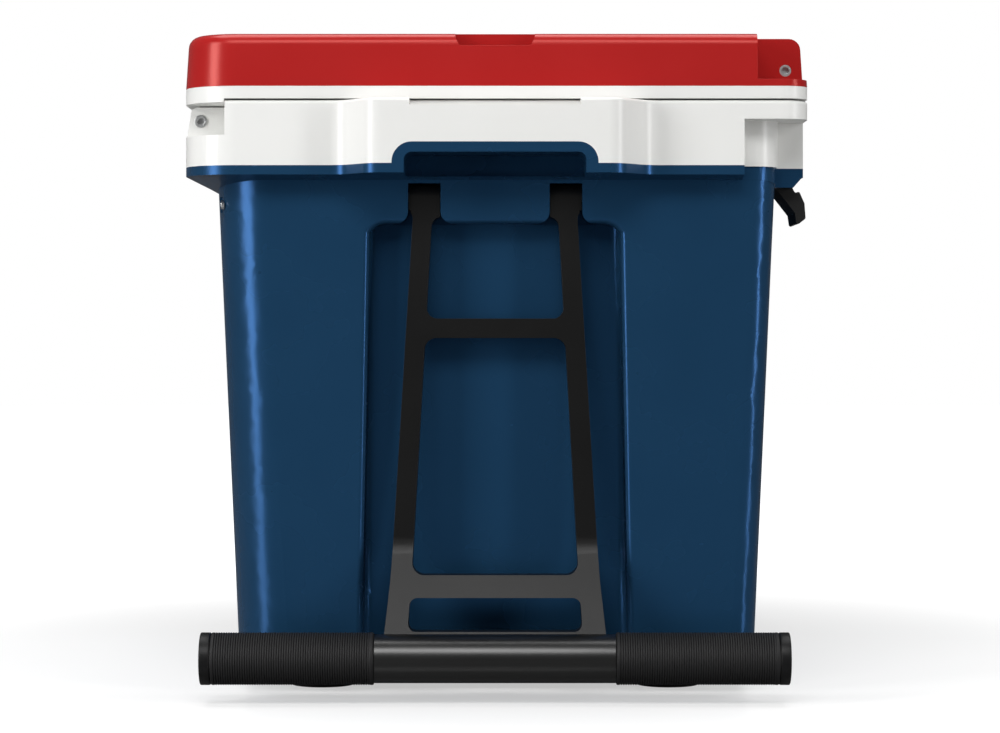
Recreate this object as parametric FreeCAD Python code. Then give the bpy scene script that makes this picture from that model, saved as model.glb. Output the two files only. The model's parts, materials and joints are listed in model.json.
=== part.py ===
import FreeCAD, Part
import math
import os

# Hard-sided wheeled cooler.  Millimetres.  X+ is the front (latch side), X- the hinge side,
# Y- the tow-handle end, Y+ the wheel end, Z up from the floor.  Everything is drawn about the
# middle of the lid, and moved at export so that the origin is under the middle of the whole cooler.

V = FreeCAD.Vector
os.makedirs("parts", exist_ok=True)

# ---------- driving dimensions ----------
HALF_WIDTH = 237.0          # lid and rim, across
HALF_LENGTH = 330.0         # lid and rim, along
BULGE = 29.0                # how far the hand-hold stands out of the rim at each end
BULGE_MIDDLE = 104.7        # where the bulge's flank crosses half its depth
BULGE_FLANK = 11.4          # half the width of that sloping flank
BULGE_ROUND = 18.0
REAR_ROUND = 42.0           # upright corners at the hinge side
FRONT_ROUND = 19.0          # upright corners at the latch side

UNDERSIDE = 22.0            # bottom of the body above the floor
COLLAR_BOTTOM = 404.0       # joint between the blue body and the white rim
RIM_TOP = 453.0
BAND_BOTTOM = 454.3
BAND_TOP = 463.8
LID_TOP = 504.0
CROWN_ROUND = 9.0           # rounding of the lid's top edge
CROWN_STEPS = 6
THUMB_HALF = 27.0            # thumb notches in the lid's end edges
THUMB_DEPTH = 9.5
THUMB_REACH = 13.0
WALL = 4.0                  # outer mouldings
LINER_WALL = 3.0

BODY_HALF_WIDTH = 214.3     # at FLANGE_ROOT
BODY_HALF_LENGTH = 310.0
FLANGE_ROOT = 395.0
DRAFT = 0.041               # how much each wall leans in per millimetre going down
FLANGE_EDGE = 398.0         # lower edge of the flange's outer face
SILL_Z = 389.5              # level underside of the flange along the latch side
SILL_EDGE = 229.6           # where that underside turns up to the flange's edge

CAVITY_HALF_WIDTH = 165.0   # outside of the liner at the rim
CAVITY_HALF_LENGTH = 262.0
LINER_DRAFT = 0.038
LINER_BOTTOM = 60.0
LINER_ROUND = 34.0

BAY_HALF_TOP = 95.5         # recess that the tow frame folds into
BAY_HALF_BOTTOM = 102.5
BAY_TOP = 361.0
BAY_DEPTH = 21.0
MOUTH_ROUND = 5.0
SLOT_INNER = 41.5           # slots for the tow frame's knuckles
SLOT_OUTER = 66.3
SLOT_TOP = 391.5
SLOT_BACK = -286.0
SLOT_LIP = 9.0
POCKET_HALF = 68.0          # finger pocket of a hand-hold
POCKET_BOTTOM = 396.0
POCKET_TOP = 412.4
POCKET_BACK = -302.0
SURROUND_HALF = 77.0        # blue surround of the finger pocket
SURROUND_TOP = 420.0
NOTCH_HALF = 64.0           # shallow finger notch under the lid
NOTCH_DEPTH = 5.4

HINGE_X = -225.7
HINGE_Z = 439.8
HINGE_PIN_R = 3.5
HINGE_ROLL_R = 11.0         # the rim's rear top edge is rounded about the hinge
HINGE_NEAR = -290.0         # outer face of the rim's end knuckle
HINGE_SHELF = 427.0         # the rim is cut back above this height along the hinge side
HINGE_LEDGE = -236.4        # the rim's rear face leans in from here up to its top
HINGE_STEP = -204.0         # lid and rim are stepped down outside this line
LUG_NEAR, LUG_FAR = -268.0, -212.0

LATCH_X = 223.4
LATCH_Z = 479.5
LATCH_PIN_R = 4.5
LATCH_BORE_R = 4.55
LATCH_Y = 237.5             # middle of each latch from the middle of the lid
CHEEK_OUTER = 43.5          # cheeks beside a latch, from its middle
CHEEK_INNER = 31.5
STRAP_HALF = 30.0
CHANNEL_BACK = 212.0
LATCH_TIP = 240.5

PIVOT_Y = -298.0            # tow frame's pivot
PIVOT_Z = 381.3
PIVOT_PIN_R = 4.0
BUSH_R = 6.0
KNUCKLE_R = 9.5
KNUCKLE_INNER = 41.8
KNUCKLE_OUTER = 66.0
ARM_THICK = 15.0
BEND_Z = 114.0              # where the frame turns outwards
TUBE_Y = -345.0
TUBE_Z = 33.8
TUBE_R = 18.2
TUBE_CORE_R = 14.0
GRIP_R = 19.6
GRIP_INNER = 90.5
GRIP_OUTER = 212.3
CAP_OUTER = 220.3

WHEEL_Y = 222.0
WHEEL_R = 100.0
WHEEL_IN = 180.0            # inner and outer faces of the tyre
WHEEL_OUT = 228.0
WELL_IN = 174.0
WELL_R = 108.0
RIM_R = 78.0                # wheel hub under the tyre
AXLE_R = 8.0
AXLE_BUSH_R = 12.0

FOOT_X = 136.0
FOOT_Y = -219.0
FOOT_R = 27.0
DRAIN_Z = 76.0

CENTRE_X = (LATCH_TIP - HALF_WIDTH) / 2
CENTRE_Y = (HALF_LENGTH + BULGE - (GRIP_R - TUBE_Y)) / 2
FAR = 600.0                 # a length well past the cooler, for cutters


# ---------- drawing helpers ----------
def save(name, shape):
    shape.translated(V(-CENTRE_X, -CENTRE_Y, 0)).exportStep("parts/" + name + ".step")


def box(x0, x1, y0, y1, z0, z1):
    return Part.makeBox(x1 - x0, y1 - y0, z1 - z0, V(x0, y0, z0))


def rod(start, end, radius):
    axis = V(*end) - V(*start)
    return Part.makeCylinder(radius, axis.Length, V(*start), axis)


def at_z(z):
    return lambda p: V(p.x, p.y, z)


def at_y(y):
    return lambda p: V(p.x, y, p.y)


def at_x(x):
    return lambda p: V(x, p.x, p.y)


def outline(corners, place):
    """Closed wire through corners (a, b, radius); a corner with a radius is an arc."""
    turns = []
    for i, (a, b, radius) in enumerate(corners):
        here = V(a, b, 0)
        if radius <= 0:
            turns.append((here, None, here))
            continue
        before = V(*corners[i - 1][:2], 0) - here
        after = V(*corners[(i + 1) % len(corners)][:2], 0) - here
        before.normalize()
        after.normalize()
        half = before.getAngle(after) / 2
        reach = radius / math.tan(half)
        inward = (before + after).normalize()
        middle = here + inward * (radius / math.sin(half) - radius)
        turns.append((here + before * reach, middle, here + after * reach))
    edges = []
    for i, (start, middle, end) in enumerate(turns):
        if middle is not None:
            edges.append(Part.Arc(place(start), place(middle), place(end)).toShape())
        following = turns[(i + 1) % len(turns)][0]
        if (following - end).Length > 1e-6:
            edges.append(Part.makeLine(place(end), place(following)))
    return Part.Wire(edges)


def prism(corners, place, along):
    return Part.Face(outline(corners, place)).extrude(V(*along))


def across(corners, y0, y1):
    """Solid with the X-Z outline given, from y0 to y1."""
    return prism(corners, at_y(y0), (0, y1 - y0, 0))


def endwise(corners, x0, x1):
    """Solid with the Y-Z outline given, from x0 to x1."""
    return prism(corners, at_x(x0), (x1 - x0, 0, 0))


def upright(corners, z0, z1):
    """Solid with the X-Y outline given, from z0 to z1."""
    return prism(corners, at_z(z0), (0, 0, z1 - z0))


def rectangle(half_x, half_y, rear, front):
    return [(-half_x, -half_y, rear), (half_x, -half_y, front),
            (half_x, half_y, front), (-half_x, half_y, rear)]


def stack(sections):
    """Straight-sided solid through (corners, z) sections, lowest first: flat sides stay true planes."""
    wires = [outline(corners, at_z(z)) for corners, z in sections]
    faces = [Part.Face(wires[0]), Part.Face(wires[-1])]
    for below, above in zip(wires, wires[1:]):
        for low, high in zip(below.Edges, above.Edges):
            if len(low.Vertexes) == 2 and low.Curve.TypeId == "Part::GeomLine":
                ends = [low.Vertexes[0].Point, low.Vertexes[1].Point,
                        high.Vertexes[1].Point, high.Vertexes[0].Point]
                faces.append(Part.Face(Part.makePolygon(ends + ends[:1])))
            else:
                faces.append(Part.makeRuledSurface(low, high))
    shell = Part.makeShell(faces)
    shell.sewShape()
    solid = Part.makeSolid(shell)
    if solid.Volume < 0:
        solid.reverse()
    return solid


def far_copy(shape):
    """The same thing at the wheel end."""
    return shape.mirror(V(0, 0, 0), V(0, 1, 0))


def both_ends(shape):
    return shape.fuse(far_copy(shape))


def front_copy(shape):
    """The same thing on the other side of the length."""
    return shape.mirror(V(0, 0, 0), V(1, 0, 0))


def both_sides(shape):
    return shape.fuse(front_copy(shape))


def fuse_all(shapes):
    return shapes[0].multiFuse(shapes[1:]).removeSplitter()


# ---------- the body's outline ----------
def wall_x(z):
    return BODY_HALF_WIDTH - DRAFT * (FLANGE_ROOT - z)


def wall_y(z):
    return BODY_HALF_LENGTH - DRAFT * (FLANGE_ROOT - z)


def body_section(z, inset, turned_in=0.0):
    """Outline of the body at height z, inset all round; turned_in rounds the bottom edge."""
    inward = inset + turned_in
    return rectangle(wall_x(z) - inward, wall_y(z) - inward, REAR_ROUND - inset, FRONT_ROUND - inset), z


def body_block(inset, top):
    low = UNDERSIDE + inset
    return stack([body_section(low, inset, 10.0), body_section(low + 3, inset, 4.0),
                  body_section(low + 10, inset), body_section(top, inset)])


def rim_outline(inset):
    """Plan of the rim with a hand-hold bulge at each end."""
    x, y = HALF_WIDTH - inset, HALF_LENGTH - inset
    foot, crest = BULGE_MIDDLE + BULGE_FLANK - inset / 2, BULGE_MIDDLE - BULGE_FLANK - inset / 2
    near = [(-x, -y, REAR_ROUND - inset), (-foot, -y, BULGE_ROUND), (-crest, -y - BULGE, BULGE_ROUND),
            (crest, -y - BULGE, BULGE_ROUND), (foot, -y, BULGE_ROUND), (x, -y, FRONT_ROUND - inset)]
    return near + [(a, -b, r) for a, b, r in reversed(near)]


# ---------- recesses, each drawn larger all round by the wall that lines it ----------
def bay(wall):
    """Tow-handle recess in the near end wall, open at the bottom."""
    def section(z, half):
        back = -(wall_y(z) - BAY_DEPTH) + wall
        half = half + wall
        return [(-half, -FAR, 0), (half, -FAR, 0), (half, back, 8), (-half, back, 8)], z
    lean = (BAY_HALF_BOTTOM - BAY_HALF_TOP) / (BAY_TOP - UNDERSIDE)
    low, high = -20.0, BAY_TOP + 20.0
    wedge = stack([section(low, BAY_HALF_BOTTOM + lean * (UNDERSIDE - low)),
                   section(high, BAY_HALF_TOP - lean * (high - BAY_TOP))])
    half = BAY_HALF_BOTTOM + 20
    top = BAY_TOP + wall
    crown = BAY_HALF_TOP + wall
    gate = across([(-half, -20, 0), (half, -20, 0), (half, 200, 0), (crown, top, 16),
                   (-crown, top, 16), (-half, 200, 0)], -FAR, 0)
    return wedge.common(gate)


def knuckle_slots(wall):
    """Upright slots above the bay, with rounded lips where they open into it."""
    inner, outer, top, foot = SLOT_INNER - wall, SLOT_OUTER + wall, SLOT_TOP + wall, BAY_TOP - 0.5
    slot = across([(inner - 12, foot, 0), (inner - 12, BAY_TOP, 0), (inner, BAY_TOP, SLOT_LIP),
                   (inner, top, 0), (outer, top, 0), (outer, BAY_TOP, SLOT_LIP),
                   (outer + 12, BAY_TOP, 0), (outer + 12, foot, 0)], -FAR, SLOT_BACK + wall)
    return both_sides(slot)


def finger_pocket(wall):
    half = POCKET_HALF + wall
    low = POCKET_BOTTOM - wall
    pocket = across([(-half, low, 0), (half, low, 0), (half, POCKET_TOP + wall, 6),
                     (-half, POCKET_TOP + wall, 6)], -FAR, POCKET_BACK + wall)
    return both_ends(pocket)


def wheel_wells(wall):
    inner = WELL_IN - wall
    radius = WELL_R + wall
    arch = rod((inner, WHEEL_Y, WHEEL_R), (FAR, WHEEL_Y, WHEEL_R), radius)
    behind = box(inner, FAR, WHEEL_Y, FAR, -20, WHEEL_R + radius)
    below = box(inner, FAR, WHEEL_Y - radius, FAR, -20, WHEEL_R)
    return both_sides(arch.fuse(behind).fuse(below))


def front_corners(top):
    """Space outside the body at the front corners, where the rim doesn't overhang."""
    reach = CHEEK_OUTER + LATCH_Y
    cut = box(188, FAR, -FAR, -reach, FLANGE_ROOT - 40, top)
    keep = upright(rectangle(wall_x(top), wall_y(top), REAR_ROUND, FRONT_ROUND), 300, top + 10)
    return both_ends(cut.cut(keep))


def latch_channels(bottom, top, grow=0.0):
    half = CHEEK_INNER + grow
    cut = box(CHANNEL_BACK - grow, FAR, -LATCH_Y - half, -LATCH_Y + half, bottom, top)
    return both_ends(cut)


def hinge_recess(grow=0.0):
    """Space behind the rim for the lid's hinge lugs and its swinging rear edge."""
    shelf = HINGE_SHELF - grow
    ledge = across([(-FAR, shelf, 0), (HINGE_LEDGE + grow, shelf, 0), (HINGE_X - 6.3 + grow, RIM_TOP, 0),
                    (HINGE_X - 6.3 + grow, FAR, 0), (-FAR, FAR, 0)], -FAR, FAR)
    step = box(-FAR, HINGE_STEP + grow, -FAR, FAR, RIM_TOP - 2.5 - grow, FAR)
    corner = box(-FAR, HINGE_STEP + grow, -FAR, HINGE_NEAR + grow, HINGE_SHELF - grow, FAR)
    pocket = box(-FAR, HINGE_X + 9.6 + grow, LUG_NEAR - 0.4 - grow, LUG_FAR + 0.4 + grow,
                 HINGE_Z - 9.2 - grow, FAR)
    roll = box(-FAR, HINGE_X, -FAR, FAR, HINGE_Z, FAR)
    roll = roll.cut(rod((HINGE_X, -FAR, HINGE_Z), (HINGE_X, FAR, HINGE_Z), HINGE_ROLL_R - grow))
    return fuse_all([ledge, step, roll, both_ends(corner), both_ends(pocket)])


# ---------- body ----------
def flange():
    lower = rectangle(BODY_HALF_WIDTH - 0.4, HALF_LENGTH - 5 * (FLANGE_EDGE - 385), 20, 12), 385.0
    upper = rectangle(HALF_WIDTH, HALF_LENGTH, REAR_ROUND, FRONT_ROUND), FLANGE_EDGE
    top = rectangle(HALF_WIDTH, HALF_LENGTH, REAR_ROUND, FRONT_ROUND), COLLAR_BOTTOM
    skirt = stack([lower, upper, top])
    reach = CHEEK_OUTER + LATCH_Y
    root = BODY_HALF_WIDTH - 3
    skirt = skirt.cut(box(root, FAR, -reach, reach, 380, SILL_Z))
    sill = across([(root, SILL_Z, 0), (SILL_EDGE, SILL_Z, 0), (HALF_WIDTH, FLANGE_EDGE, 0),
                   (root, FLANGE_EDGE, 0)], -reach, reach)
    return fuse_all([skirt, sill, upright(rim_outline(0), FLANGE_EDGE - 1, COLLAR_BOTTOM)])


def pocket_surround():
    surround = across([(-SURROUND_HALF, FLANGE_EDGE - 1, 0), (SURROUND_HALF, FLANGE_EDGE - 1, 0),
                       (SURROUND_HALF, SURROUND_TOP, 15), (-SURROUND_HALF, SURROUND_TOP, 15)],
                      -HALF_LENGTH - BULGE, POCKET_BACK + WALL)
    return both_ends(surround)


def body_with_bay():
    """The drafted body with the tow-handle bay, whose mouth is rounded over."""
    block = body_block(0, COLLAR_BOTTOM).cut(bay(0))

    def at_mouth(edge):
        b = edge.BoundBox
        on_wall = b.YMax < -wall_y(b.ZMin) + 5 and b.YMax < -290
        within = max(-b.XMin, b.XMax) < BAY_HALF_BOTTOM + 1
        runs_up_or_across = b.ZLength > 1 or b.ZMin > BAY_TOP - 10
        return on_wall and within and runs_up_or_across and b.ZMax < BAY_TOP + 1
    return block.makeFillet(MOUTH_ROUND, [edge for edge in block.Edges if at_mouth(edge)])


def outer_shell():
    block = body_with_bay().fuse(flange()).fuse(pocket_surround())
    hollow = body_block(WALL, COLLAR_BOTTOM)
    recesses = [bay, knuckle_slots, finger_pocket, wheel_wells]
    for recess in recesses:
        hollow = hollow.cut(recess(WALL))
    shell = block.cut(hollow)
    for recess in recesses:
        shell = shell.cut(recess(0))
    shell = shell.cut(front_corners(COLLAR_BOTTOM)).cut(latch_channels(300, FAR))
    shell = shell.cut(pivot_pins(0)).cut(axle_holes()).cut(drain_hole(15)).cut(corner_recesses())
    shell = shell.cut(screw_holes())
    return shell.removeSplitter()


def pivot_pins(grow):
    pin = rod((34, PIVOT_Y, PIVOT_Z), (74, PIVOT_Y, PIVOT_Z), PIVOT_PIN_R + grow)
    return both_sides(pin)


def axle_holes():
    return both_sides(rod((WELL_IN - 20, WHEEL_Y, WHEEL_R), (FAR, WHEEL_Y, WHEEL_R), AXLE_R))


def drain_hole(radius):
    return rod((0, 200, DRAIN_Z), (0, FAR, DRAIN_Z), radius)


def corner_screw():
    """Small cap screw at the rear of the near end, in its own little recess."""
    x = -wall_x(376) + 5.5
    y = -wall_y(376) + 22
    head = rod((x - 2.5, y, 376), (x + 0.5, y, 376), 3.6)
    shank = rod((x + 0.5, y, 376), (x + 12, y, 376), 1.8)
    return head.fuse(shank)


def corner_recesses():
    x = -wall_x(376) + 4
    y = -wall_y(376) + 22
    return both_ends(box(x - 30, x, y - 9, y + 9, 370, 382))


def screw_holes():
    """Everything driven through the shell into the foam."""
    screws = [foot_screw(1), foot_screw(-1), both_ends(corner_screw()), both_sides(plate_screws())]
    return Part.makeCompound(screws)


def foam_core():
    core = body_block(WALL, COLLAR_BOTTOM).fuse(collar_hollow())
    for recess in (bay, knuckle_slots, finger_pocket, wheel_wells):
        core = core.cut(recess(WALL))
    core = core.cut(corner_recesses()).cut(liner_block(0, RIM_TOP + 1)).cut(drain_hole(15)).cut(screw_holes())
    core = core.cut(both_sides(rod((30, PIVOT_Y, PIVOT_Z), (78, PIVOT_Y, PIVOT_Z), PIVOT_PIN_R + 4)))
    core = core.cut(hinge_pins(HINGE_PIN_R))
    return core.cut(both_sides(rod((WELL_IN - 20, WHEEL_Y, WHEEL_R), (FAR, WHEEL_Y, WHEEL_R), 20)))


def liner_block(inset, top):
    def section(z, extra=0.0):
        sink = LINER_DRAFT * (RIM_TOP - z) + inset + extra
        return rectangle(CAVITY_HALF_WIDTH - sink, CAVITY_HALF_LENGTH - sink, LINER_ROUND, LINER_ROUND), z
    low = LINER_BOTTOM + inset
    return stack([section(low, 8), section(low + 8), section(top)])


def inner_liner():
    liner = liner_block(0, RIM_TOP).cut(liner_block(LINER_WALL, RIM_TOP + 1))
    return liner.cut(drain_hole(11))


def finger_notch(wall):
    notch = box(-NOTCH_HALF - wall, NOTCH_HALF + wall, -FAR, -HALF_LENGTH + 4 + wall,
                RIM_TOP - NOTCH_DEPTH - wall, FAR)
    return both_ends(notch)


def collar_hollow():
    """Room inside the rim's walls, filled with foam."""
    hollow = upright(rim_outline(WALL), COLLAR_BOTTOM, RIM_TOP - WALL)
    hollow = hollow.cut(hinge_recess(WALL)).cut(latch_channels(0, FAR, WALL)).cut(finger_notch(WALL))
    corner = box(184, FAR, -FAR, -LATCH_Y - CHEEK_INNER, 0, FAR)
    hollow = hollow.cut(both_ends(corner)).cut(both_ends(box(184, FAR, -210, -190, 0, FAR)))
    return hollow.cut(liner_block(0, RIM_TOP + 1)).cut(pocket_surround_space(WALL))


def rim_collar():
    block = upright(rim_outline(0), COLLAR_BOTTOM, RIM_TOP)
    block = block.makeFillet(2.5, [edge for edge in block.Edges if edge.BoundBox.ZMin > RIM_TOP - 0.1])
    collar = block.cut(collar_hollow())
    collar = collar.cut(finger_notch(0)).cut(hinge_recess()).cut(liner_block(0, RIM_TOP + 1))
    collar = collar.cut(pocket_surround_space(0)).cut(latch_channels(0, FAR)).cut(front_corners(439))
    return collar.cut(hinge_pins(HINGE_PIN_R)).removeSplitter()


def pocket_surround_space(wall):
    half, top = SURROUND_HALF + wall, SURROUND_TOP + wall
    room = across([(-half, 300, 0), (half, 300, 0), (half, top, 15), (-half, top, 15)],
                  -FAR, POCKET_BACK + WALL + wall)
    return both_ends(room)


# ---------- lid ----------
def lid_outline(inset):
    return rectangle(HALF_WIDTH - inset, HALF_LENGTH - inset, REAR_ROUND - inset, FRONT_ROUND - inset)


def lid_corners(grow):
    """Cut-down front corners and latch channels of the lid."""
    corner = box(198 - grow, FAR, -FAR, -LATCH_Y - CHEEK_OUTER + grow, 469 - grow, FAR)
    return both_ends(corner).fuse(latch_channels(300, FAR, grow))


def crown(inset, bottom):
    """The lid above its band: sides lean in a little, and the top edge is a quarter round."""
    top = LID_TOP - inset
    lean = 2.0 + inset
    sections = [(lid_outline(inset), bottom)]
    for step in range(CROWN_STEPS + 1):
        angle = math.radians(90 * step / CROWN_STEPS)
        inward = lean + CROWN_ROUND * (1 - math.cos(angle))
        sections.append((lid_outline(inward), top - CROWN_ROUND * (1 - math.sin(angle))))
    return stack(sections)


def lid_notches(grow):
    """Thumb notch in the middle of each end's top edge, its sides leaning outwards."""
    floor, narrow, wide = LID_TOP - THUMB_DEPTH - grow, THUMB_HALF + grow, THUMB_HALF + 3 + grow
    notch = across([(-narrow, floor, 2), (narrow, floor, 2), (wide, LID_TOP - 3, 0), (wide, FAR, 0),
                    (-wide, FAR, 0), (-wide, LID_TOP - 3, 0)], -FAR, -HALF_LENGTH + THUMB_REACH + grow)
    return both_ends(notch)


def lid_inside():
    """The space the lid's red skin encloses."""
    return crown(WALL, BAND_TOP).cut(lid_corners(WALL)).cut(lid_notches(WALL))


def lid_top():
    shell = crown(0, BAND_TOP).cut(lid_inside())
    shell = shell.cut(lid_corners(0)).cut(lid_notches(0)).cut(latch_pins(LATCH_PIN_R))
    return shell.removeSplitter()


def plug_outline(inset):
    """Plan of the lid's plug, which drops into the liner's mouth."""
    gap = LINER_WALL + 3.5 + inset
    return rectangle(CAVITY_HALF_WIDTH - gap, CAVITY_HALF_LENGTH - gap, LINER_ROUND - 6, LINER_ROUND - 6)


def hinge_lug():
    lug = rod((HINGE_X, LUG_NEAR, HINGE_Z), (HINGE_X, LUG_FAR, HINGE_Z), 8.5)
    neck = box(HINGE_X - 6, HINGE_X + 6, LUG_NEAR, LUG_FAR, HINGE_Z, BAND_BOTTOM)
    return both_ends(lug.fuse(neck))


def lid_liner():
    rim = upright(lid_outline(0), BAND_BOTTOM, BAND_TOP)
    step = upright(lid_outline(0), RIM_TOP - 1.5, BAND_BOTTOM)
    step = step.cut(box(HINGE_STEP - 0.4, FAR, -FAR, FAR, 0, FAR))
    plug = stack([(plug_outline(3), 432), (plug_outline(0), 437), (plug_outline(0), BAND_BOTTOM)])
    hollow = stack([(plug_outline(7), 436), (plug_outline(4), BAND_TOP)])
    ring = lid_outline(WALL)
    edge = upright(ring, BAND_TOP - 5, BAND_TOP).cut(lid_corners(WALL))
    liner = rim.fuse(step).fuse(plug).fuse(hinge_lug()).cut(hollow).cut(edge)
    liner = liner.cut(latch_channels(300, FAR)).cut(gasket_ring(0, 457))
    bore = both_ends(rod((HINGE_X, -290, HINGE_Z), (HINGE_X, -190, HINGE_Z), HINGE_PIN_R + 0.06))
    return liner.cut(bore).removeSplitter()


def lid_foam():
    upper = lid_inside()
    edge = upright(lid_outline(WALL), BAND_TOP - 5, BAND_TOP).cut(lid_corners(WALL))
    lower = stack([(plug_outline(7), 436), (plug_outline(4), BAND_TOP)])
    return upper.fuse(edge).fuse(lower).cut(latch_pins(LATCH_PIN_R)).removeSplitter()


def gasket_ring(slack, top):
    """Seal round the plug, under the lid."""
    inner = rectangle(CAVITY_HALF_WIDTH + 4 + slack, CAVITY_HALF_LENGTH + 4 + slack, 38, 38)
    outer = rectangle(CAVITY_HALF_WIDTH + 12 - slack, CAVITY_HALF_LENGTH + 12 - slack, 46, 46)
    low = RIM_TOP + 0.35
    return upright(outer, low, top).cut(upright(inner, low, top))


def hinge_pins(radius):
    """Headed pins, in from each end of the rim."""
    pin = rod((HINGE_X, HINGE_NEAR, HINGE_Z), (HINGE_X, -192, HINGE_Z), radius)
    head = rod((HINGE_X, HINGE_NEAR - 1.2, HINGE_Z), (HINGE_X, HINGE_NEAR + 4, HINGE_Z), radius + 1.4)
    return both_ends(pin.fuse(head))


def hinge_pin(far):
    pin = rod((HINGE_X, HINGE_NEAR, HINGE_Z), (HINGE_X, -192, HINGE_Z), HINGE_PIN_R)
    head = rod((HINGE_X, HINGE_NEAR - 1.2, HINGE_Z), (HINGE_X, HINGE_NEAR + 4, HINGE_Z), HINGE_PIN_R + 1.4)
    pin = pin.fuse(head).cut(hex_socket(HINGE_X, HINGE_NEAR - 1.2, HINGE_Z, 5.5, 3))
    return far_copy(pin) if far else pin


def hex_socket(x, y, z, flats, depth):
    """Six-sided socket going in along Y+ from the face at y."""
    r = flats / math.sqrt(3)
    corners = [(x + r * math.cos(math.radians(60 * i)), z + r * math.sin(math.radians(60 * i)), 0)
               for i in range(6)]
    return across(corners, y - 1, y + depth)


# ---------- latches ----------
def latch_pins(radius):
    y = LATCH_Y + CHEEK_OUTER
    return both_ends(rod((LATCH_X, -y, LATCH_Z), (LATCH_X, -LATCH_Y + CHEEK_OUTER, LATCH_Z), radius))


def latch_pin(far):
    y = LATCH_Y + CHEEK_OUTER
    pin = rod((LATCH_X, -y, LATCH_Z), (LATCH_X, -LATCH_Y + CHEEK_OUTER, LATCH_Z), LATCH_PIN_R)
    pin = pin.cut(hex_socket(LATCH_X, -y, LATCH_Z, 5.5, 4))
    return far_copy(pin) if far else pin


def latch(far):
    """Stretchy T-handle: an eye on the pin, a strap, and a finger tab below the flange."""
    y0, y1 = -LATCH_Y - STRAP_HALF, -LATCH_Y + STRAP_HALF
    eye = rod((LATCH_X, y0, LATCH_Z), (LATCH_X, y1, LATCH_Z), 9.5)
    strap = across([(214.5, 478, 0), (232.5, 478, 0), (229, 392, 3), (232.6, 385.5, 1.5), (235.2, 387.8, 1.5),
                    (239.6, 378, 2), (LATCH_TIP, 366.2, 2), (233.6, 360.8, 1.5), (232.2, 370.5, 2),
                    (224.4, 380.6, 2), (221.4, 384.4, 1.5), (214.6, 392, 3)], y0, y1)
    body = eye.fuse(strap)
    body = body.cut(rod((LATCH_X, y0 - 1, LATCH_Z), (LATCH_X, y1 + 1, LATCH_Z), LATCH_BORE_R))
    waist = both_waists(y0, y1)
    body = body.cut(waist).removeSplitter()
    return far_copy(body) if far else body


def both_waists(y0, y1):
    """The strap is narrower than the eye and the tab."""
    return box(190, 260, y0 - 1, y0 + 8, 392, 462).fuse(box(190, 260, y1 - 8, y1 + 1, 392, 462))


# ---------- tow handle ----------
def arm_inner(z):
    """Inside edge of an arm; the arms spread downwards."""
    return 48.5 + 0.0557 * (360 - z)


def window(z0, z1, radius):
    half0, half1 = arm_inner(z0), arm_inner(z1)
    corners = [(-half0, z0, radius), (half0, z0, radius), (half1, z1, radius), (-half1, z1, radius)]
    return across(corners, -FAR, 0)


def tow_frame():
    half = [(KNUCKLE_OUTER, 372, 2), (62.6, 366, 4), (79.3, 90, 60), (83.5, 48, 0), (83.5, 20, 0)]
    front = across([(-x, z, r) for x, z, r in reversed(half)] + half, -FAR, 0)
    for z0, z1, radius in ((53.5, 77.7, 6), (94.2, 273.7, 9), (288.5, 366, 8)):
        front = front.cut(window(z0, z1, radius))
    front = front.cut(box(-KNUCKLE_INNER, KNUCKLE_INNER, -FAR, 0, 350, 400))
    face, back = PIVOT_Y - KNUCKLE_R, PIVOT_Y - KNUCKLE_R + ARM_THICK
    side = endwise([(face, 372, 0), (face, BEND_Z + 2, 30), (-351.5, 37.5, 0), (-338.5, 30.1, 0),
                    (back, BEND_Z - 2, 20), (back, 372, 0)], -FAR, FAR)
    frame = front.common(side)
    eye = both_sides(rod((KNUCKLE_INNER, PIVOT_Y, PIVOT_Z), (KNUCKLE_OUTER, PIVOT_Y, PIVOT_Z), KNUCKLE_R))
    neck = both_sides(box(KNUCKLE_INNER, KNUCKLE_OUTER, face, back, 371, PIVOT_Z))
    frame = frame.fuse(neck).fuse(eye).cut(both_sides(pivot_bore(BUSH_R)))
    return frame.cut(rod((-FAR, TUBE_Y, TUBE_Z), (FAR, TUBE_Y, TUBE_Z), TUBE_R)).removeSplitter()


def pivot_bore(radius):
    return rod((KNUCKLE_INNER, PIVOT_Y, PIVOT_Z), (KNUCKLE_OUTER, PIVOT_Y, PIVOT_Z), radius)


def tow_bush(side):
    bush = pivot_bore(BUSH_R).cut(pivot_bore(PIVOT_PIN_R + 0.05))
    return bush if side > 0 else front_copy(bush)


def pivot_pin(side):
    pin = rod((34, PIVOT_Y, PIVOT_Z), (74, PIVOT_Y, PIVOT_Z), PIVOT_PIN_R)
    return pin if side > 0 else front_copy(pin)


def tow_tube():
    middle = rod((-GRIP_INNER, TUBE_Y, TUBE_Z), (GRIP_INNER, TUBE_Y, TUBE_Z), TUBE_R)
    core = rod((-GRIP_OUTER, TUBE_Y, TUBE_Z), (GRIP_OUTER, TUBE_Y, TUBE_Z), TUBE_CORE_R)
    return middle.fuse(core).cut(rod((-FAR, TUBE_Y, TUBE_Z), (FAR, TUBE_Y, TUBE_Z), TUBE_CORE_R - 3))


def tow_grip(side):
    start, end = (GRIP_INNER, TUBE_Y, TUBE_Z), (GRIP_OUTER, TUBE_Y, TUBE_Z)
    grip = rod(start, end, GRIP_R).cut(rod(start, end, TUBE_CORE_R))
    return grip if side > 0 else front_copy(grip)


def grip_cap(side):
    disc = rod((GRIP_OUTER, TUBE_Y, TUBE_Z), (CAP_OUTER, TUBE_Y, TUBE_Z), GRIP_R)
    spigot = rod((GRIP_OUTER - 22, TUBE_Y, TUBE_Z), (GRIP_OUTER, TUBE_Y, TUBE_Z), TUBE_CORE_R - 3)
    cap = disc.fuse(spigot)
    return cap if side > 0 else front_copy(cap)


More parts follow.
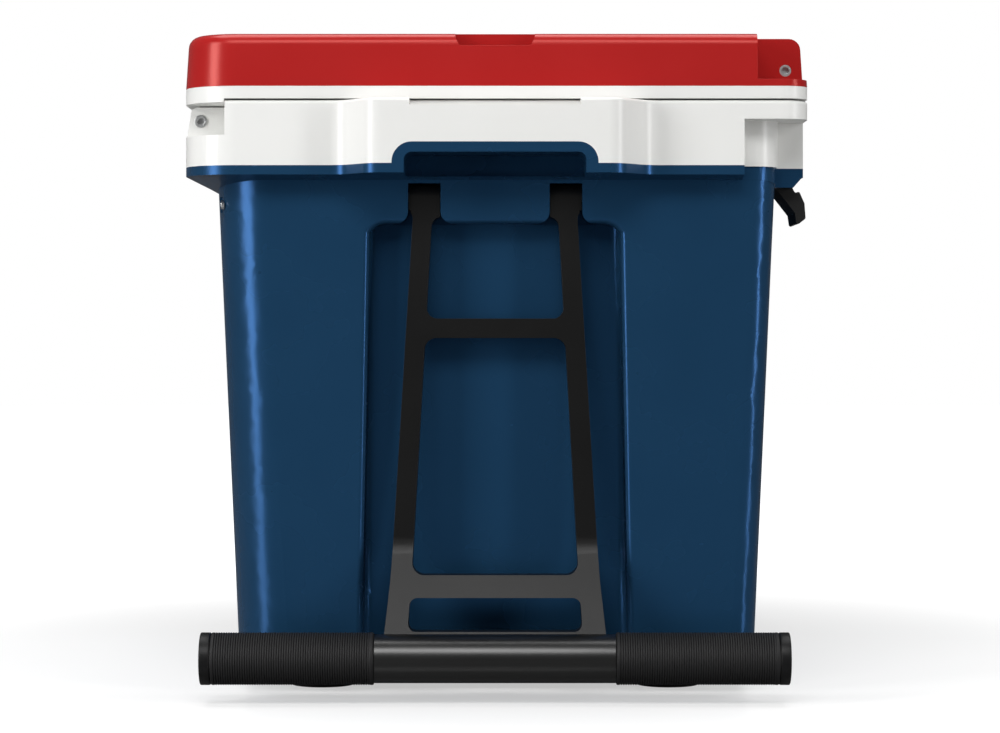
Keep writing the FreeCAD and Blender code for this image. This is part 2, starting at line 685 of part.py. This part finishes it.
# ---------- wheels ----------
def on_axle(x0, x1, radius):
    return rod((x0, WHEEL_Y, WHEEL_R), (x1, WHEEL_Y, WHEEL_R), radius)


def tyre():
    return on_axle(WHEEL_IN, WHEEL_OUT, WHEEL_R).cut(on_axle(WHEEL_IN, WHEEL_OUT, RIM_R))


def wheel_hub():
    ring = on_axle(WHEEL_IN, WHEEL_OUT, RIM_R).cut(on_axle(WHEEL_IN, WHEEL_OUT, RIM_R - 6))
    boss = on_axle(WELL_IN + 3.6, 222, 26)
    web = on_axle(206, 212, RIM_R - 5)
    ribs = [box(190, 216, WHEEL_Y + 20, WHEEL_Y + RIM_R - 4, WHEEL_R - 4, WHEEL_R + 4)]
    ribs = [ribs[0].rotated(V(0, WHEEL_Y, WHEEL_R), V(1, 0, 0), 60 * i) for i in range(6)]
    hub = fuse_all([ring, boss, web] + ribs)
    return hub.cut(on_axle(170, 230, AXLE_R + 0.6)).cut(wheel_bush_space())


def wheel_bush_space():
    return on_axle(WELL_IN + 3.6, WELL_IN + 17.6, AXLE_BUSH_R).fuse(on_axle(208, 222, AXLE_BUSH_R))


def wheel_bushes():
    return wheel_bush_space().cut(on_axle(170, 230, AXLE_R + 0.05))


def axle_bolt():
    return on_axle(162, 224, AXLE_R).fuse(on_axle(224, 228, 12))


def axle_nut():
    return on_axle(162, WELL_IN - WALL, 13).cut(on_axle(162, WELL_IN - WALL, AXLE_R))


def axle_washer():
    return on_axle(222.3, 224, 16).cut(on_axle(222, 225, AXLE_R))


def axle_plate():
    plate = on_axle(WELL_IN, WELL_IN + 3, 46).cut(on_axle(WELL_IN, WELL_IN + 3, AXLE_R))
    return plate.cut(plate_screws())


def plate_screws():
    screws = []
    for i in range(4):
        angle = math.radians(45 + 90 * i)
        y, z = WHEEL_Y + 37 * math.cos(angle), WHEEL_R + 37 * math.sin(angle)
        shank = rod((WELL_IN - 9, y, z), (WELL_IN + 3, y, z), 2.5)
        screws.append(shank.fuse(rod((WELL_IN + 3, y, z), (WELL_IN + 5, y, z), 5)).removeSplitter())
    return Part.makeCompound(screws)


def hub_cap():
    return on_axle(222, 231.5, 26).cut(on_axle(222, 229.5, 24))


# ---------- feet and drain ----------
def foot(side):
    x = side * FOOT_X
    pad = rod((x, FOOT_Y, 3), (x, FOOT_Y, UNDERSIDE), FOOT_R)
    sole = Part.makeCone(FOOT_R - 2.5, FOOT_R, 3, V(x, FOOT_Y, 0), V(0, 0, 1))
    return pad.fuse(sole).cut(rod((x, FOOT_Y, -1), (x, FOOT_Y, 9), 7)).cut(foot_screw(side)).removeSplitter()


def foot_screw(side):
    x = side * FOOT_X
    return rod((x, FOOT_Y, 7), (x, FOOT_Y, 9), 6).fuse(rod((x, FOOT_Y, 9), (x, FOOT_Y, 38), 2.5))


def along_drain(y0, y1, radius):
    return rod((0, y0, DRAIN_Z), (0, y1, DRAIN_Z), radius)


def drain_sleeve():
    inside = CAVITY_HALF_LENGTH - LINER_DRAFT * (RIM_TOP - DRAIN_Z) - LINER_WALL
    outside = wall_y(DRAIN_Z + 20)
    sleeve = along_drain(inside + 2, outside, 15).fuse(along_drain(outside, outside + 3, 21))
    liner = liner_block(0, RIM_TOP).cut(liner_block(LINER_WALL, RIM_TOP + 1)).cut(along_drain(0, FAR, 11))
    return sleeve.cut(along_drain(0, FAR, 11)).cut(liner).removeSplitter()


def drain_plug():
    face = wall_y(DRAIN_Z + 20) + 3
    plug = along_drain(252, face + 2.5, 10.7).fuse(along_drain(face + 2.5, face + 9, 19))
    return plug.fuse(box(-16, 16, face + 9, face + 17, DRAIN_Z - 3.5, DRAIN_Z + 3.5)).removeSplitter()


def drain_seal():
    face = wall_y(DRAIN_Z + 20) + 3
    return along_drain(face + 0.3, face + 2.2, 17).cut(along_drain(face, face + 3, 11))


# ---------- write every piece ----------
save("outer_shell", outer_shell())
save("foam_core", foam_core())
save("inner_liner", inner_liner())
save("rim_collar", rim_collar())
save("lid_top", lid_top())
save("lid_liner", lid_liner())
save("lid_foam", lid_foam())
save("lid_gasket", gasket_ring(0, 457))
for far, word in ((False, "left"), (True, "right")):
    save("hinge_pin_" + word, hinge_pin(far))
    save("latch_" + word, latch(far))
    save("latch_pin_" + word, latch_pin(far))
save("tow_frame", tow_frame())
save("tow_tube", tow_tube())
for side, word in ((1, "front"), (-1, "rear")):
    save("tow_bush_" + word, tow_bush(side))
    save("tow_pivot_pin_" + word, pivot_pin(side))
    save("tow_grip_" + word, tow_grip(side))
    save("tow_grip_cap_" + word, grip_cap(side))
    save("foot_" + word, foot(side))
    save("foot_screw_" + word, foot_screw(side))
    for name, make in (("tyre", tyre), ("wheel_hub", wheel_hub), ("wheel_bushes", wheel_bushes),
                       ("axle_bolt", axle_bolt), ("axle_nut", axle_nut), ("axle_washer", axle_washer),
                       ("axle_plate", axle_plate), ("axle_plate_screws", plate_screws), ("hub_cap", hub_cap)):
        piece = make()
        save(name + "_" + word, piece if side > 0 else front_copy(piece))
save("corner_screws", Part.makeCompound([corner_screw(), far_copy(corner_screw())]))
save("drain_sleeve", drain_sleeve())
save("drain_plug", drain_plug())
save("drain_seal", drain_seal())
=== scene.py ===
"""Looks of a hard-sided wheeled cooler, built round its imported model. Lengths here are millimetres
about the middle of the lid; set_down() turns them into metres in the model's own frame."""

import json
import math

import bmesh
import bpy
import numpy as np
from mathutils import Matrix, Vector


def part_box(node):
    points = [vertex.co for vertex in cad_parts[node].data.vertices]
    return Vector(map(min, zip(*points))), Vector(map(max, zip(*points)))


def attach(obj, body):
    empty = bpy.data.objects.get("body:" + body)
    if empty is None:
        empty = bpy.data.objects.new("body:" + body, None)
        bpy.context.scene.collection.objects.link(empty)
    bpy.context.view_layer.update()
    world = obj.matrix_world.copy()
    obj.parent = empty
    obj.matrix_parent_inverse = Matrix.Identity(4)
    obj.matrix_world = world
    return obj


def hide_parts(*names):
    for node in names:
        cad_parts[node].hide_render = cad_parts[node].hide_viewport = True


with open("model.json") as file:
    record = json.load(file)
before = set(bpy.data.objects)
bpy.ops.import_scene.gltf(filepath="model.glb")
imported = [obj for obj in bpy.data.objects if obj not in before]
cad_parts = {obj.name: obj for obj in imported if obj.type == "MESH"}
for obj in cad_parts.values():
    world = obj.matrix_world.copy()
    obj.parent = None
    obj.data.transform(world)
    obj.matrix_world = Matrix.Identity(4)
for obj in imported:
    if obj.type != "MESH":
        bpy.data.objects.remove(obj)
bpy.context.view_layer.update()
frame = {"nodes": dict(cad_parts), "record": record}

LID_LOW, LID_HIGH = (np.array(corner) * 1000 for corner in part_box("lid_top"))
MIDDLE = (LID_LOW + LID_HIGH) / 2 * (1, 1, 0)
BODY_OF = {node: body for body, nodes in frame["record"]["behaviour"]["bodies"].items() for node in nodes}
SLOT_OF = {part["node"]: part["material_slot"] for part in frame["record"]["subparts"]}
ENDS = (("_front", 1), ("_rear", -1))


# ---------- materials ----------
def linear(hex_colour):
    """sRGB hex to linear RGBA."""
    parts = [int(hex_colour[i:i + 2], 16) / 255 for i in (0, 2, 4)]
    return tuple(c / 12.92 if c <= 0.04045 else ((c + 0.055) / 1.055) ** 2.4 for c in parts) + (1.0,)


def add(tree, kind, inputs=None, **settings):
    """Adds a node; inputs maps a socket's name or number to a value or to another node's output."""
    made = tree.nodes.new("ShaderNode" + kind)
    for key, value in settings.items():
        setattr(made, key, value)
    for socket, value in (inputs or {}).items():
        if isinstance(value, bpy.types.NodeSocket):
            tree.links.new(value, made.inputs[socket])
        else:
            made.inputs[socket].default_value = value
    return made


def finish(name, dark, light, roughness, spread, grain, depth, patch=60.0, metallic=0.0, ior=1.5,
           sheen="ffffff"):
    """A finish whose colour drifts between two hex shades over patches, with a fine grain.
    grain and patch are millimetres, depth is the grain's height in millimetres, spread is how far
    the roughness wanders, and sheen tints what the surface mirrors."""
    material = bpy.data.materials.new(name)
    material.use_nodes = True
    tree = material.node_tree
    tree.nodes.clear()
    place = add(tree, "TexCoord").outputs["Object"]
    drift = add(tree, "TexNoise", {"Vector": place, "Scale": 1000 / patch, "Detail": 3.0})
    fine = add(tree, "TexNoise", {"Vector": place, "Scale": 1000 / grain, "Detail": 2.0})
    colour = add(tree, "Mix", {0: drift.outputs[0], 6: linear(dark), 7: linear(light)}, data_type="RGBA")
    gloss = add(tree, "MapRange", {"Value": drift.outputs[0], "To Min": roughness - spread,
                                   "To Max": roughness + spread})
    bump = add(tree, "Bump", {"Height": fine.outputs[0], "Strength": 1.0, "Distance": depth / 1000})
    shader = add(tree, "BsdfPrincipled", {"Base Color": colour.outputs[2], "Roughness": gloss.outputs[0],
                                          "Normal": bump.outputs[0], "Metallic": metallic, "IOR": ior,
                                          "Specular Tint": linear(sheen)})
    add(tree, "OutputMaterial", {"Surface": shader.outputs[0]})
    return material


# Moulded plastic, coloured right through: satin faces, and lights mirrored in the plastic's own hue.
NAVY = finish("navy rotomoulded polyethylene", "173650", "1a3a55", 0.27, 0.03, 1.6, 0.012,
              ior=1.75, sheen="5c9cf0")
RED = finish("red rotomoulded polyethylene", "a31b1b", "a91f1f", 0.26, 0.03, 1.6, 0.012,
             ior=1.6, sheen="ff9c94")
WHITE = finish("white rotomoulded polyethylene", "e6e6e3", "eaeae8", 0.34, 0.03, 1.6, 0.01)
# Baked powder coat: deep black with a faint orange peel, glossier on the bar that hands polish.
BLACK_COAT = finish("black powder coat", "080808", "0c0c0c", 0.38, 0.04, 0.7, 0.02, ior=1.4)
TUBE_COAT = finish("gloss black powder coat", "090909", "0d0d0d", 0.30, 0.03, 0.7, 0.01, ior=1.7)
# Moulded rubbers: charcoal that spreads its highlights wide, dullest where it meets the ground.
RUBBER = finish("moulded black rubber", "121212", "191919", 0.60, 0.05, 0.9, 0.02, ior=1.35)
GRIP = finish("ribbed grip rubber", "1b1b1c", "212122", 0.55, 0.05, 0.8, 0.015, ior=1.35)
TYRE = finish("solid tyre rubber", "161616", "1e1e1d", 0.75, 0.06, 1.3, 0.05)
GASKET = finish("seal rubber", "1a1a1a", "202020", 0.6, 0.05, 0.8, 0.01)
# Injection-moulded nylon: near black, with a soft shine.
NYLON = finish("black moulded nylon", "0c0c0d", "111112", 0.42, 0.04, 1.1, 0.015, ior=1.35)
# Tumbled stainless steel: pale grey metal with blurred mirrors.
STEEL = finish("stainless steel", "c4c5c6", "d2d3d4", 0.38, 0.05, 0.5, 0.003, metallic=1.0)
# Poured polyurethane foam: dull straw yellow, sealed inside the walls and the lid.
FOAM = finish("rigid foam", "d8c88e", "e2d49c", 0.85, 0.05, 1.5, 0.2)

BY_SLOT = {"navy_shell": NAVY, "white_moulding": WHITE, "red_lid": RED, "foam": FOAM, "gasket": GASKET,
           "latch_rubber": RUBBER, "frame_coat": BLACK_COAT, "grip_rubber": GRIP, "black_plastic": NYLON,
           "tyre_rubber": TYRE, "foot_rubber": RUBBER, "stainless": STEEL}


# ---------- meshes ----------
def set_down(points):
    """Millimetres about the middle of the lid, to metres in the frame."""
    return (np.asarray(points, float).reshape(-1, 3) + MIDDLE) / 1000


def extents(node):
    """Lowest and highest corner of a CAD node, and its middle, in millimetres about the lid's middle."""
    low, high = (np.array(corner) * 1000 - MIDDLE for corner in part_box(node))
    return low, high, (low + high) / 2


def dress(piece, node, sharp, surface=None):
    """Ties a piece to the CAD node that it stands for, in the finish of the node's slot unless told
    otherwise. Edges that turn by more than the sharp angle, in degrees, are shaded as edges."""
    bpy.context.scene.collection.objects.link(piece)
    piece.data.shade_smooth()
    piece.data.set_sharp_from_angle(angle=math.radians(sharp))
    piece.data.materials.clear()
    piece.data.materials.append(surface or BY_SLOT[SLOT_OF[node]])
    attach(piece, BODY_OF[node])
    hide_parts(node)


def piece_for(node, points, faces, sharp=50, surface=None):
    """A new piece, from points in millimetres, that stands for a CAD node."""
    mesh = bpy.data.meshes.new(node + "_looks")
    mesh.from_pydata(set_down(points).tolist(), [], faces.tolist())
    mesh.validate()
    dress(bpy.data.objects.new(node + "_looks", mesh), node, sharp, surface)


def merged_copy(node, near=2e-5, flat=1.0):
    """A CAD node's mesh with corners nearer than a gap in metres joined, and the edges between faces
    that are flat to an angle in degrees taken out."""
    mesh = frame["nodes"][node].data.copy()
    work = bmesh.new()
    work.from_mesh(mesh)
    bmesh.ops.remove_doubles(work, verts=work.verts, dist=near)
    bmesh.ops.dissolve_limit(work, angle_limit=math.radians(flat), verts=work.verts, edges=work.edges,
                             use_dissolve_boundaries=False)
    work.to_mesh(mesh)
    work.free()
    return mesh


def softened(node, width, edge=32):
    """The CAD node's own shape, with each edge that turns by more than an angle in degrees rounded
    over by a width in millimetres, as a moulding or casting has them."""
    piece = bpy.data.objects.new(node + "_soft", merged_copy(node))
    dress(piece, node, edge)
    bevel = piece.modifiers.new("rounded edges", "BEVEL")
    bevel.width = width / 1000
    bevel.segments = 3
    bevel.limit_method = "ANGLE"
    bevel.angle_limit = math.radians(edge)
    bevel.use_clamp_overlap = True
    level = piece.modifiers.new("flat faces stay flat", "WEIGHTED_NORMAL")
    level.mode, level.weight, level.keep_sharp = "FACE_AREA_WITH_ANGLE", 50, True


def turned(centre, axis, profile, turns=96, shape=None):
    """Points and faces of a closed profile of (along, radius) stations carried round an axis: a point
    lies its own distance along the axis, and its radius times the angle's cosine and sine across it.
    shape(angle, along, radius), if given, returns new along and radius arrays, for treads."""
    along, radius = np.array(profile, float).T[:, :, None]
    angle = np.linspace(0, 2 * np.pi, turns, endpoint=False)[None, :]
    along, radius, angle = np.broadcast_arrays(along, radius, angle)
    if shape:
        along, radius = shape(angle, along, radius)
    across_a, across_b = radius * np.cos(angle), radius * np.sin(angle)
    order = {"x": (along, across_a, across_b), "z": (across_a, across_b, along)}
    points = np.stack(order[axis], -1) + np.array(centre, float)
    return points.reshape(-1, 3), wrapped_faces(*along.shape)


def wrapped_faces(rows, columns):
    """Quads over a grid that closes on itself both ways: each corner with its next row and column."""
    row, column = np.meshgrid(np.arange(rows), np.arange(columns), indexing="ij")
    below, beside = (row + 1) % rows, (column + 1) % columns
    quads = np.stack([row * columns + column, below * columns + column,
                      below * columns + beside, row * columns + beside], -1)
    return quads.reshape(-1, 4)


def rounded(profile, radius, steps=4):
    """A closed profile with each corner turned into a quadratic curve. It starts and ends on the two
    sides, the radius or a third of the shorter side away from the corner, and bends towards it."""
    corner = np.array(profile, float)[:, None]
    back, ahead = np.roll(corner, 1, 0) - corner, np.roll(corner, -1, 0) - corner
    back_length, ahead_length = (np.linalg.norm(side, axis=2, keepdims=True) for side in (back, ahead))
    reach = np.minimum(radius, np.minimum(back_length, ahead_length) / 3)
    start, end = corner + back / back_length * reach, corner + ahead / ahead_length * reach
    t = np.linspace(0, 1, steps + 1)[:, None]
    curve = (1 - t) ** 2 * start + 2 * t * (1 - t) * corner + t ** 2 * end
    return curve.reshape(-1, 2)


# ---------- the CAD's own shapes with softened edges ----------
for node, piece in frame["nodes"].items():
    piece.data.materials.clear()
    piece.data.materials.append(BY_SLOT[SLOT_OF[node]])

SOFT_EDGES = {"outer_shell": 2.0, "rim_collar": 1.6, "lid_liner": 1.2, "lid_top": 1.6, "tow_frame": 1.6,
              "inner_liner": 1.5, "lid_gasket": 0.8, "latch_left": 1.0, "latch_right": 1.0,
              "hinge_pin_left": 0.5, "hinge_pin_right": 0.5, "latch_pin_left": 0.6, "latch_pin_right": 0.6,
              "drain_plug": 1.4, "drain_sleeve": 0.8, "drain_seal": 0.5, "corner_screws": 0.5}
PAIRED_EDGES = {"wheel_hub": 1.2, "wheel_bushes": 0.4, "axle_bolt": 0.9, "axle_nut": 0.9, "axle_washer": 0.3,
                "axle_plate": 0.8, "axle_plate_screws": 0.4, "tow_pivot_pin": 0.5, "tow_bush": 0.4,
                "foot_screw": 0.5}
SOFT_EDGES.update({stem + end: width for stem, width in PAIRED_EDGES.items() for end, _ in ENDS})
for node, width in SOFT_EDGES.items():
    softened(node, width)


# ---------- pieces turned from profiles ----------
def ribbed_grip(node, ribs=64, groove=0.95, core=14.05, band=3.0):
    """Rubber sleeve between two plain bands: radius = grip radius less a groove between each pair of
    half-round ribs."""
    low, high, middle = extents(node)
    radius, half = (high[2] - low[2]) / 2, (high[0] - low[0]) / 2
    pitch = 2 * (half - band) / ribs
    phase = np.array([0.0, 0.12, 0.25, 0.5, 0.75, 0.88])
    lift = np.array([0.0, 0.62, 0.9, 1.0, 0.9, 0.62])
    along = (-half + band + pitch * (np.arange(ribs)[:, None] + phase)).ravel()
    outer = radius - groove + groove * np.tile(lift, ribs)
    rim = [(-half, core), (-half, radius - 1.2), (-half + 0.4, radius - 0.3), (-half + 1.2, radius),
           (-half + band - 0.4, radius)]
    profile = [*rim, *zip(along, outer), *((-a, r) for a, r in reversed(rim))]
    piece_for(node, *turned(middle, "x", profile[::-1], 80), sharp=60)


def tow_tube(node, core=14.0, bore=11.0):
    """Tube at its full radius where it shows between the grips, and at its core's inside them."""
    low, high, middle = extents(node)
    show = extents("tow_grip_front")[0][0] - middle[0]
    radius, half = (high[2] - low[2]) / 2, (high[0] - low[0]) / 2
    profile = [(-half, bore), (-half, core), (-show, core), (-show, radius), (show, radius), (show, core),
               (half, core), (half, bore)]
    piece_for(node, *turned(middle, "x", rounded(profile, 0.8)[::-1]), surface=TUBE_COAT)


def outward(profile, out):
    """A profile, run the way that turns its faces outwards at this end of the axis."""
    return profile if out < 0 else profile[::-1]


def grip_cap(node, out, depth=8.0, spigot=11.0, dish=1.2, axle=0.01):
    """End cap: a rounded disc with a shallow dish, on a spigot."""
    low, high, middle = extents(node)
    inner, face = (low[0], high[0])[::out]
    radius = (high[2] - low[2]) / 2
    profile = [(face - out * dish, axle), (face - out * dish, radius - 4), (face, radius - 3), (face, radius),
               (face - out * depth, radius), (face - out * depth, spigot), (inner, spigot), (inner, axle)]
    profile = rounded(profile, 1.4) - (middle[0], 0)
    piece_for(node, *turned(middle, "x", outward(profile, out)))


def foot(node, well=8.0, head=9.0, hole=3.0, grooves=(6.0, 12.0), deep=0.8):
    """Rubber foot: a drum with a rounded sole, two shallow grooves and a screw well. The well runs up
    to the height where the screw's head sits, and its hole goes on to the top."""
    low, high, middle = extents(node)
    radius, top = (high[0] - low[0]) / 2, high[2]
    groove = np.array([(0.0, 0.0), (0.6, -deep), (2.2, -deep), (2.8, 0.0)])
    side = [tuple(station + (start, radius)) for start in grooves for station in groove]
    profile = [(0, well), (0, radius - 2.5), (2.6, radius), *side, (top, radius), (top, hole), (head, hole),
               (head, well)]
    points, faces = turned((middle[0], middle[1], 0), "z", rounded(profile, 0.6)[::-1])
    piece_for(node, points, faces[:, ::-1])


def tyre(node, blocks=36, groove=2.6, bore=78.0):
    """Solid tyre: radius = tyre radius less a crown that falls with the 2.5th power of the distance from
    the middle, less a groove wherever a slanted wave of the angle, or the middle, calls for one."""
    low, high, middle = extents(node)
    radius, half = (high[2] - low[2]) / 2, (high[0] - low[0]) / 2
    across = np.linspace(-half + 3.5, half - 3.5, 41)
    crown = radius - 1.4 * np.abs(across / half) ** 2.5
    side = [(half - 1.2, radius - 5), (half, radius - 9), (half, bore + 7), (half - 0.8, bore + 4),
            (half - 0.8, bore)]
    profile = [*((-a, r) for a, r in reversed(side)), *zip(across, crown), *side]

    def tread(angle, along, radial):
        """Cuts the grooves between the blocks, and the one round the middle, into the outer band."""
        slant = angle * blocks / (2 * np.pi) + np.abs(along) / half * 0.9
        step = np.abs((slant % 1.0) - 0.5) * 2
        between = np.clip((step - 0.68) / 0.12, 0, 1)
        middle_groove = np.clip((2.6 - np.abs(along)) / 1.2, 0, 1)
        cut = groove * np.maximum(between, middle_groove)
        return along, np.where(radial > radius - 3, radial - cut, radial)

    points, faces = turned(middle, "x", profile, 360, tread)
    piece_for(node, points, faces[:, ::-1], sharp=40)


def hub_cap(node, out, flat=9.0, wall=2.0, axle=0.01):
    """Cap over the axle bolt: a flat middle, a dome that falls away from it, and a straight skirt."""
    low, high, middle = extents(node)
    base, face = (low[0], high[0])[::out]
    radius = (high[2] - low[2]) / 2
    profile = [(face, axle), (face, flat), (face - out * 1.6, 19), (face - out * 4.2, radius - 0.6),
               (base, radius), (base, radius - wall), (face - out * 4.6, radius - wall),
               (face - out * 2.2, flat), (face - out * 2.0, axle)]
    profile = rounded(profile, 1.2) - (middle[0], 0)
    piece_for(node, *turned(middle, "x", outward(profile, out)))


for end, out in ENDS:
    ribbed_grip("tow_grip" + end)
    grip_cap("tow_grip_cap" + end, out)
tow_tube("tow_tube")
for end, out in ENDS:
    foot("foot" + end)
for end, out in ENDS:
    tyre("tyre" + end)
    hub_cap("hub_cap" + end, out)


# ---------- camera, lights and floor ----------
def level_camera(eye, lens, drop):
    """A camera that looks along +Y from a point in millimetres, shifted so that it needs no tilt."""
    camera = bpy.data.objects.new("camera", bpy.data.cameras.new("camera"))
    camera.location = set_down(eye)[0]
    camera.rotation_euler = (math.radians(90), 0, 0)
    camera.data.lens = lens
    camera.data.sensor_width = 36
    camera.data.shift_y = drop
    camera.data.clip_end = 50
    bpy.context.scene.collection.objects.link(camera)
    bpy.context.scene.camera = camera


def softbox(name, at, aim, width, height, power):
    """A rectangular area light at one point, turned to face another; metres."""
    light = bpy.data.lights.new(name, "AREA")
    light.shape, light.size, light.size_y, light.energy = "RECTANGLE", width, height, power
    lamp = bpy.data.objects.new(name, light)
    lamp.location = at
    direction = np.array(aim) - np.array(at)
    lamp.rotation_euler = Vector(direction).to_track_quat("-Z", "Y").to_euler()
    bpy.context.scene.collection.objects.link(lamp)


def studio_world(ambient):
    """White to the eye, and a dimmer even light for everything else."""
    world = bpy.data.worlds.new("studio")
    bpy.context.scene.world = world
    world.use_nodes = True
    tree = world.node_tree
    tree.nodes.clear()
    seen = add(tree, "LightPath").outputs["Is Camera Ray"]
    level = add(tree, "MapRange", {"Value": seen, "To Min": ambient, "To Max": 1.0}).outputs[0]
    back = add(tree, "Background", {"Color": (1, 1, 1, 1), "Strength": level})
    add(tree, "OutputWorld", {"Surface": back.outputs[0]})


def studio_floor(radius, near, far, glow, away):
    """A round white gloss floor, in metres: to the eye it is lit white, from the glow at the near
    distance up to full at the far one, and to every bounced ray it is a dimmer grey."""
    angle = np.linspace(0, 2 * np.pi, 96, endpoint=False)
    rim = np.stack([radius * np.cos(angle), radius * np.sin(angle), 0 * angle], 1)
    mesh = bpy.data.meshes.new("floor")
    mesh.from_pydata(rim.tolist(), [], [tuple(range(len(angle)))])
    floor = bpy.data.objects.new("floor", mesh)
    bpy.context.scene.collection.objects.link(floor)
    material = finish("white gloss floor", "f2f2f2", "f5f5f5", 0.16, 0.01, 8.0, 0.0, patch=400)
    tree = material.node_tree
    shader = tree.nodes["Principled BSDF"]
    seen = add(tree, "LightPath").outputs["Is Camera Ray"]
    white = shader.inputs["Base Color"].links[0].from_socket
    shade = add(tree, "Mix", {0: seen, 6: (away, away, away, 1), 7: white}, data_type="RGBA").outputs[2]
    tree.links.new(shade, shader.inputs["Base Color"])
    shader.inputs["Emission Color"].default_value = (1, 1, 1, 1)
    place = add(tree, "TexCoord").outputs["Object"]
    distance = add(tree, "VectorMath", {0: place}, operation="LENGTH").outputs["Value"]
    level = add(tree, "MapRange", {"Value": distance, "From Min": near, "From Max": far, "To Min": glow,
                                   "To Max": 1.0}, interpolation_type="SMOOTHSTEP").outputs[0]
    tree.links.new(add(tree, "Math", {0: seen, 1: level}, operation="MULTIPLY").outputs[0],
                   shader.inputs["Emission Strength"])
    floor.data.materials.append(material)


level_camera(eye=(3.7, -2545.0, 276.0), lens=105.84, drop=-0.0315)
softbox("strip_left", (-1.7, -1.35, 0.45), (-0.2, -0.3, 0.25), 0.62, 2.0, 36)
softbox("strip_right", (1.75, -1.3, 0.45), (0.2, -0.3, 0.25), 0.24, 2.0, 22)
softbox("front_high", (-0.3, -2.6, 2.3), (0, 0, 0.25), 2.2, 1.0, 44)
softbox("overhead", (0, 0.2, 2.6), (0, 0, 0.2), 2.4, 1.6, 44)
studio_world(ambient=0.12)
studio_floor(radius=9.0, near=0.42, far=1.1, glow=0.5, away=0.2)
bpy.context.scene.view_settings.view_transform = "Standard"

bpy.context.view_layer.update()
